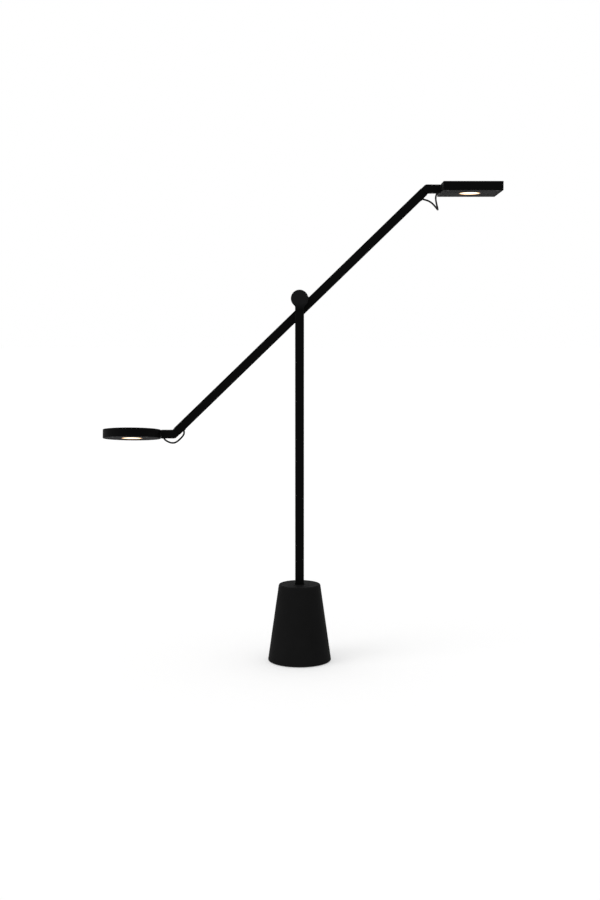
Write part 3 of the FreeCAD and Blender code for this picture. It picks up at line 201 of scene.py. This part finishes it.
def tube(name, line, radius, sides):
    """A closed round tube along a line, turned as little as possible from ring to ring."""
    vertices, faces = [], []
    across = Vector((0, 1, 0))
    for k, place in enumerate(line):
        ahead = (line[min(k + 1, len(line) - 1)] - line[max(k - 1, 0)]).normalized()
        across = (across - ahead * across.dot(ahead)).normalized()
        side = ahead.cross(across)
        for corner in range(sides):
            turn = 2 * math.pi * corner / sides
            vertices.append(place + (across * math.cos(turn) + side * math.sin(turn)) * radius)
    for k in range(len(line) - 1):
        for corner in range(sides):
            after = (corner + 1) % sides
            ring, next_ring = k * sides, (k + 1) * sides
            faces.append((ring + corner, ring + after, next_ring + after, next_ring + corner))
    last_ring = (len(line) - 1) * sides
    faces.append(tuple(reversed(range(sides))))
    faces.append(tuple(range(last_ring, last_ring + sides)))
    mesh = bpy.data.meshes.new(name)
    mesh.from_pydata([tuple(vertex) for vertex in vertices], [], faces)
    mesh.polygons.foreach_set("use_smooth", [len(face) == 4 for face in faces])
    piece = bpy.data.objects.new(name, mesh)
    bpy.context.collection.objects.link(piece)
    return piece


silicone = grained(
    "cable silicone",
    colour=CABLE_COLOUR,
    roughness=(0.42, 0.56),
    grain=0.0006,
    height=0.00003,
    specular=0.16,
)
for side, route in (("lower", LOWER_ROUTE), ("upper", UPPER_ROUTE)):
    elbow = joint_place[f"{side}_elbow"]
    line = smooth_line(f"{side}_jumper_route", [elbow + Vector(point) for point in route])
    cable = tube(f"{side}_jumper_lead", line, CABLE_RADIUS, CABLE_SIDES)
    cable.data.materials.append(silicone)
    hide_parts(f"{side}_jumper_cable")
    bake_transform(cable)

# ---- Weighted base ----
# A hollow cone of cast iron with a sand-textured black powder coat, and the LED driver inside. A zinc-plated
# plate is screwed under it, with a rubber pad, and a rubber gland for the mains lead sits low at the back.
BASE_COLOUR = (0.0084, 0.0084, 0.0085)
ZINC_COLOUR = (0.42, 0.43, 0.44)
ZINC_DARK, ZINC_LIGHT = 0.82, 1.12  # of the zinc's colour
ZINC_ROUGHNESS = (0.34, 0.46)
SPANGLE = 0.006
SPANGLE_GRAIN = 0.00075
SPANGLE_HEIGHT = 0.00002
RUBBER_COLOUR = (0.010, 0.010, 0.010)
DRIVER_COLOUR = (0.50, 0.50, 0.47)


def zinc():
    """Bright zinc plate, with the patches of crystal that it sets in."""
    material, nodes, links, shader, place = finish("zinc plate", metallic=0.9)
    crystal = nodes.new("ShaderNodeTexVoronoi")
    crystal.inputs["Scale"].default_value = 1 / SPANGLE
    links.new(place, crystal.inputs["Vector"])
    level = nodes.new("ShaderNodeSeparateColor")
    links.new(crystal.outputs["Color"], level.inputs["Color"])
    dark, light = shade(ZINC_COLOUR, ZINC_DARK), shade(ZINC_COLOUR, ZINC_LIGHT)
    links.new(tone(nodes, links, level.outputs["Red"], dark, light), shader.inputs["Base Color"])
    links.new(spread(nodes, links, level.outputs["Green"], *ZINC_ROUGHNESS), shader.inputs["Roughness"])
    bump(nodes, links, shader, noise(nodes, links, place, SPANGLE_GRAIN), SPANGLE_HEIGHT)
    return material


powder = grained(
    "sand powder coat",
    colour=BASE_COLOUR,
    roughness=(0.60, 0.72),
    grain=0.0007,
    height=0.00008,
    contrast=0.10,
    specular=0.018,
)
rubber = grained(
    "black rubber", colour=RUBBER_COLOUR, roughness=(0.74, 0.88), grain=0.0004, height=0.00004, specular=0.25
)
moulding = grained(
    "driver housing",
    colour=DRIVER_COLOUR,
    roughness=(0.48, 0.58),
    grain=0.0005,
    height=0.00003,
    contrast=0.05,
)
wear(powder, "base_casting")
wear(zinc(), "base_plate")
wear(rubber, "foot_pad", "cord_gland", "arm_grommets", "lower_bracket_grommet", "upper_bracket_grommet")
wear(moulding, "led_driver")

# ---- Screws, nuts and the pivot ----
# The fasteners that show are black-oxide steel, and so are the pinion, the rack and the heads' necks. Plain
# turned steel is the axle with its washer and nut, the screws under the base and those in the stem's socket.
OXIDE_COLOUR = (0.010, 0.010, 0.011)
STEEL_COLOUR = (0.48, 0.48, 0.49)
TOOL_LINE_STEP = 0.0005  # of radius, for each radian of the tool lines' wave
WAVE_RATE = 20  # radians that a wave texture turns through in a metre, at scale 1
TOOL_LINE_WAVER = 2.0
TOOL_LINE_HEIGHT = 0.000004
STEEL_MOTTLE = 0.004


def machined(name, colour, roughness, contrast, specular=0.5, metallic=0.9):
    """Turned or milled metal: fine tool lines round the piece, over a slightly uneven tone."""
    material, nodes, links, shader, place = finish(name, metallic, specular)
    lines = nodes.new("ShaderNodeTexWave")
    lines.wave_type = "RINGS"
    lines.rings_direction = "SPHERICAL"
    lines.inputs["Scale"].default_value = 1 / TOOL_LINE_STEP / WAVE_RATE
    lines.inputs["Distortion"].default_value = TOOL_LINE_WAVER
    links.new(place, lines.inputs["Vector"])
    clouds = noise(nodes, links, place, STEEL_MOTTLE)
    level = spread(nodes, links, clouds, 0.0, 1.0)
    dark, light = shade(colour, 1 - contrast), shade(colour, 1 + contrast)
    links.new(tone(nodes, links, level, dark, light), shader.inputs["Base Color"])
    links.new(spread(nodes, links, clouds, *roughness), shader.inputs["Roughness"])
    bump(nodes, links, shader, lines.outputs["Fac"], TOOL_LINE_HEIGHT)
    return material


oxide = machined(
    "black oxide", colour=OXIDE_COLOUR, roughness=(0.40, 0.52), contrast=0.18, specular=0.3, metallic=0.3
)
steel = machined("turned steel", colour=STEEL_COLOUR, roughness=(0.24, 0.34), contrast=0.08)
wear(steel, "base_plate_screws", "stem_set_screws", "pivot_axle", "axle_washer", "axle_nut")
wear(
    oxide,
    "hub_screws",
    "pinion",
    "rack",
    "carriage_screws",
    "arm_end_screws",
    *(f"{side}_{piece}" for side in ("lower", "upper") for piece in ("grub_screw", "elbow_screw")),
    *(f"{head}_{piece}" for head in ("round_head", "square_head") for piece in ("neck", "cover_screws")),
)

# ---- Stem and arm ----
# Two square aluminium tubes with a satin black powder coat. The stem is clamped in the base, and the arm
# carries the rack in its upper face. The leads inside them have the cables' silicone jacket.
TUBE_COLOUR = (0.0014, 0.0014, 0.0014)
COAT_GRAIN = 0.0005

satin = grained(
    "satin tube coat",
    colour=TUBE_COLOUR,
    roughness=(0.44, 0.56),
    grain=COAT_GRAIN,
    height=0.00001,
    contrast=0.14,
    specular=0.035,
)
wear(satin, "stem_tube", "arm_tube")
wear(silicone, "stem_lead", "arm_lead")

# ---- Hub and carriage ----
# Die-cast aluminium in matt black paint. The hub is the stem's round head, with a plain cap in its front. The
# carriage turns on the axle behind the arm, in a bronze bush, and slides in the arm on a nylon shoe.
HUB_TOP_COLOUR = (0.0092, 0.0092, 0.0095)
# The hub's foot colour is painted shade, which the hub fades into below its round head.
HUB_FOOT_PAINTED_SHADE = (0.0008, 0.0008, 0.0008)
HUB_PAINTED_SHADE_LOW, HUB_PAINTED_SHADE_HIGH = 0.7174, 0.7314  # heights between which the hub's tone changes
HUB_SPECULAR = 0.035
HUB_MOTTLE = 0.01
PAINT_COLOUR = (0.0014, 0.0014, 0.0015)
PAINT_ROUGHNESS = (0.50, 0.62)
CAST_GRAIN = 0.0008
CAST_HEIGHT = 0.00003
BRONZE_COLOUR = (0.46, 0.28, 0.12)
NYLON_COLOUR = (0.055, 0.055, 0.058)


def hub_paint_with_painted_shade():
    """The casting paint, paler on the hub's round head, with painted shade darkening it towards its foot."""
    material, nodes, links, shader, place = finish("hub paint with painted shade", specular=HUB_SPECULAR)
    parts = nodes.new("ShaderNodeSeparateXYZ")
    links.new(place, parts.inputs["Vector"])
    # Painted shade: the colour darkens from the round head down to the foot between two heights.
    painted_shade = nodes.new("ShaderNodeMapRange")
    painted_shade.inputs["From Min"].default_value = HUB_PAINTED_SHADE_LOW
    painted_shade.inputs["From Max"].default_value = HUB_PAINTED_SHADE_HIGH
    links.new(parts.outputs["Z"], painted_shade.inputs["Value"])
    colour = tone(nodes, links, painted_shade.outputs["Result"], HUB_FOOT_PAINTED_SHADE, HUB_TOP_COLOUR)
    links.new(colour, shader.inputs["Base Color"])
    clouds = noise(nodes, links, place, HUB_MOTTLE)
    links.new(spread(nodes, links, clouds, *PAINT_ROUGHNESS), shader.inputs["Roughness"])
    bump(nodes, links, shader, noise(nodes, links, place, CAST_GRAIN), CAST_HEIGHT)
    return material


matt = grained(
    "matt casting paint",
    colour=PAINT_COLOUR,
    roughness=PAINT_ROUGHNESS,
    grain=CAST_GRAIN,
    height=CAST_HEIGHT,
    specular=0.04,
)
bronze = grained(
    "sintered bronze",
    colour=BRONZE_COLOUR,
    roughness=(0.40, 0.55),
    grain=0.0003,
    height=0.00003,
    mottle=0.002,
    metallic=0.9,
)
nylon = grained("nylon shoe", colour=NYLON_COLOUR, roughness=(0.50, 0.60), grain=0.0006, height=0.00002)
wear(hub_paint_with_painted_shade(), "hub_housing", "hub_front_cap")
wear(matt, "carriage_plate", "carriage_cap")
wear(bronze, "carriage_bush")
wear(nylon, "slide_shoe")

# ---- Elbows ----
# At each end of the arm sits a die-cast end piece, with a short bracket turning on it. Both wear the
# carriage's paint, and the washers between them are nylon.
wear(matt, "lower_arm_end", "upper_arm_end", "lower_bracket", "upper_bracket")
wear(nylon, "lower_elbow_washers", "upper_elbow_washers")

# ---- Lamp heads ----
# Each head is a thin die-cast housing in black paint, closed below by a painted cover. In its middle a
# reflector with a black lip holds a frosted disc, lit warm white by a board on an aluminium heat spreader.
# The reflector's lip has a painted warm glow at its inner edge.
HEAD_COLOUR = (0.0015, 0.0015, 0.0016)
COVER_COLOUR = (0.0085, 0.0085, 0.0092)
SPREADER_COLOUR = (0.62, 0.63, 0.65)
SPREADER_DARK = 0.88  # of the spreader's colour, in its streaks
SPREADER_ROUGHNESS = (0.28, 0.42)
STREAK = 0.02
STREAK_THINNING = (1, 40, 40)  # along X, Y and Z
STREAK_HEIGHT = 0.000006
MASK_COLOUR = (0.80, 0.80, 0.76)
MASK_ROUGHNESS = (0.28, 0.40)
MASK_GRAIN = 0.0004
MASK_HEIGHT = 0.00001
CHIP_COLOUR = (0.85, 0.55, 0.06)
CHIP_RADIUS = 0.009
RING_COLOUR = (0.80, 0.78, 0.74)
RING_ROUGHNESS = (0.42, 0.54)
RING_MOTTLE = 0.002
# Strength of the painted glow on the reflector's lip.
PAINTED_LIP_GLOW_STRENGTH = 0.5
LIP_COLOUR = (0.012, 0.011, 0.010)
LIP_RADIUS = 0.022
FROST_COLOUR = (0.85, 0.82, 0.76)
FROST_ROUGHNESS = (0.38, 0.55)
FROST_GRAIN = 0.0005
FROST_HEIGHT = 0.00002
LIGHT_COLOUR = (1.0, 0.80, 0.52)
RIM_COLOUR = (1.0, 0.46, 0.13)
RIM_START = 0.72  # of the disc's radius
DISC_RADIUS = 0.0196
DISC_STRENGTH = 1.9


def radial(nodes, links, place, centre, radius):
    """How far a place is from a point, as a share of a radius."""
    offset = nodes.new("ShaderNodeVectorMath")
    offset.operation = "DISTANCE"
    offset.inputs[1].default_value = centre
    links.new(place, offset.inputs[0])
    ratio = nodes.new("ShaderNodeMath")
    ratio.operation = "DIVIDE"
    ratio.inputs[1].default_value = radius
    links.new(offset.outputs["Value"], ratio.inputs[0])
    return ratio.outputs["Value"]


def lit_disc(name, centre):
    """The frosted disc: white hot in the middle, warmer and weaker at its rim."""
    material, nodes, links, shader, place = finish(name)
    share = radial(nodes, links, place, centre, DISC_RADIUS)
    glow = tone(nodes, links, share, LIGHT_COLOUR, RIM_COLOUR, start=RIM_START)
    links.new(glow, shader.inputs["Emission Color"])
    shader.inputs["Emission Strength"].default_value = DISC_STRENGTH
    shader.inputs["Base Color"].default_value = (*FROST_COLOUR, 1)
    frost = noise(nodes, links, place, FROST_GRAIN)
    links.new(spread(nodes, links, frost, *FROST_ROUGHNESS), shader.inputs["Roughness"])
    bump(nodes, links, shader, frost, FROST_HEIGHT)
    return material


def chip_board(name, centre):
    """White solder mask round the yellow chip."""
    material, nodes, links, shader, place = finish(name)
    share = radial(nodes, links, place, centre, CHIP_RADIUS)
    colour = tone(nodes, links, share, CHIP_COLOUR, MASK_COLOUR, blend="CONSTANT")
    links.new(colour, shader.inputs["Base Color"])
    dust = noise(nodes, links, place, MASK_GRAIN)
    links.new(spread(nodes, links, dust, *MASK_ROUGHNESS), shader.inputs["Roughness"])
    bump(nodes, links, shader, dust, MASK_HEIGHT)
    return material


def reflector_ring(name, centre):
    """Bright moulding inside, and a black lip round the disc, with a painted warm glow at its inner edge."""
    material, nodes, links, shader, place = finish(name)
    share = radial(nodes, links, place, centre, LIP_RADIUS)
    edge = DISC_RADIUS / LIP_RADIUS
    colour = tone(nodes, links, share, RING_COLOUR, LIP_COLOUR, end=edge, blend="CONSTANT")
    links.new(colour, shader.inputs["Base Color"])
    # Painted glow: warm light given off by the ring, fading out across the lip from the disc's edge.
    glow = tone(nodes, links, share, RIM_COLOUR, (0, 0, 0), start=edge)
    links.new(glow, shader.inputs["Emission Color"])
    shader.inputs["Emission Strength"].default_value = PAINTED_LIP_GLOW_STRENGTH
    clouds = noise(nodes, links, place, RING_MOTTLE)
    links.new(spread(nodes, links, clouds, *RING_ROUGHNESS), shader.inputs["Roughness"])
    return material


def brushed_aluminium():
    """Bare milled aluminium, with long fine streaks."""
    material, nodes, links, shader, place = finish("bare aluminium", metallic=0.95)
    stretch = nodes.new("ShaderNodeMapping")
    stretch.inputs["Scale"].default_value = STREAK_THINNING
    links.new(place, stretch.inputs["Vector"])
    streaks = noise(nodes, links, stretch.outputs["Vector"], STREAK)
    level = spread(nodes, links, streaks, 0.0, 1.0)
    dark = shade(SPREADER_COLOUR, SPREADER_DARK)
    links.new(tone(nodes, links, level, dark, SPREADER_COLOUR), shader.inputs["Base Color"])
    links.new(spread(nodes, links, streaks, *SPREADER_ROUGHNESS), shader.inputs["Roughness"])
    bump(nodes, links, shader, streaks, STREAK_HEIGHT)
    return material


head_paint = grained(
    "head paint",
    colour=HEAD_COLOUR,
    roughness=(0.52, 0.64),
    grain=CAST_GRAIN,
    height=0.000015,
    specular=0.035,
)
cover_paint = grained(
    "cover paint",
    colour=COVER_COLOUR,
    roughness=(0.64, 0.76),
    grain=COAT_GRAIN,
    height=0.000005,
    specular=0.03,
)
milled = brushed_aluminium()
for head in ("round_head", "square_head"):
    wear(head_paint, f"{head}_housing")
    wear(cover_paint, f"{head}_cover")
    wear(milled, f"{head}_heat_spreader")
    for piece, paint, middle in (
        ("led_board", chip_board, "led_board"),
        ("diffuser", lit_disc, "diffuser"),
        ("reflector", reflector_ring, "diffuser"),
    ):
        low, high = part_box(f"{head}_{middle}")
        wear(paint(f"{head} {piece}", (low + high) / 2), f"{head}_{piece}")

# ---- Floor and light ----
# The lamp stands on a white table top before a plain white backdrop, with broad soft light from the left.
# Both look brighter to the camera than the light that they throw on the lamp.
FLOOR_SIZE = 60.0
FLOOR_COLOUR = (0.78, 0.78, 0.78)
FLOOR_ROUGHNESS = 0.9
FLOOR_SPECULAR = 0.1
FLOOR_LIFT = 0.37  # brightness that only the camera and reflections see
WORLD_STRENGTH = 0.72  # as light on the lamp; the backdrop itself shows at 1
KEY_STRENGTH = 0.65
KEY_SPREAD = math.radians(40)
KEY_DIRECTION = Vector((1.0, 0.55, -0.66))


def any_ray(nodes, links, *kinds):
    """1 for a ray of any of these kinds, and 0 for any other."""
    path = nodes.new("ShaderNodeLightPath")
    result = path.outputs[kinds[0]]
    for kind in kinds[1:]:
        either = nodes.new("ShaderNodeMath")
        either.operation = "MAXIMUM"
        links.new(result, either.inputs[0])
        links.new(path.outputs[kind], either.inputs[1])
        result = either.outputs["Value"]
    return result


bpy.ops.mesh.primitive_plane_add(size=FLOOR_SIZE)
floor = bpy.context.object
floor.name = "table_top"
paper = bpy.data.materials.new("white table top")
paper.use_nodes = True
nodes, links = paper.node_tree.nodes, paper.node_tree.links
surface = nodes["Principled BSDF"]
surface.inputs["Base Color"].default_value = (*FLOOR_COLOUR, 1)
surface.inputs["Roughness"].default_value = FLOOR_ROUGHNESS
surface.inputs["Specular IOR Level"].default_value = FLOOR_SPECULAR
amount = nodes.new("ShaderNodeMath")
amount.operation = "MULTIPLY"
amount.inputs[1].default_value = FLOOR_LIFT
links.new(any_ray(nodes, links, "Is Camera Ray", "Is Glossy Ray"), amount.inputs[0])
lift = nodes.new("ShaderNodeEmission")
links.new(amount.outputs["Value"], lift.inputs["Strength"])
together = nodes.new("ShaderNodeAddShader")
links.new(surface.outputs["BSDF"], together.inputs[0])
links.new(lift.outputs["Emission"], together.inputs[1])
links.new(together.outputs["Shader"], nodes["Material Output"].inputs["Surface"])
floor.data.materials.append(paper)

world = bpy.data.worlds.new("studio")
world.use_nodes = True
nodes, links = world.node_tree.nodes, world.node_tree.links
backdrop = nodes["Background"]
backdrop.inputs["Color"].default_value = (1, 1, 1, 1)
strength = nodes.new("ShaderNodeMapRange")
strength.inputs["To Min"].default_value = WORLD_STRENGTH
strength.inputs["To Max"].default_value = 1.0
white_ray = any_ray(nodes, links, "Is Camera Ray", "Is Transmission Ray", "Is Glossy Ray")
links.new(white_ray, strength.inputs["Value"])
links.new(strength.outputs["Result"], backdrop.inputs["Strength"])
bpy.context.scene.world = world

key = bpy.data.objects.new("key_lamp", bpy.data.lights.new("key_lamp", "SUN"))
key.data.energy = KEY_STRENGTH
key.data.angle = KEY_SPREAD
key.rotation_euler = KEY_DIRECTION.to_track_quat("-Z", "Y").to_euler()
bpy.context.collection.objects.link(key)

bpy.context.scene.view_settings.view_transform = "Standard"
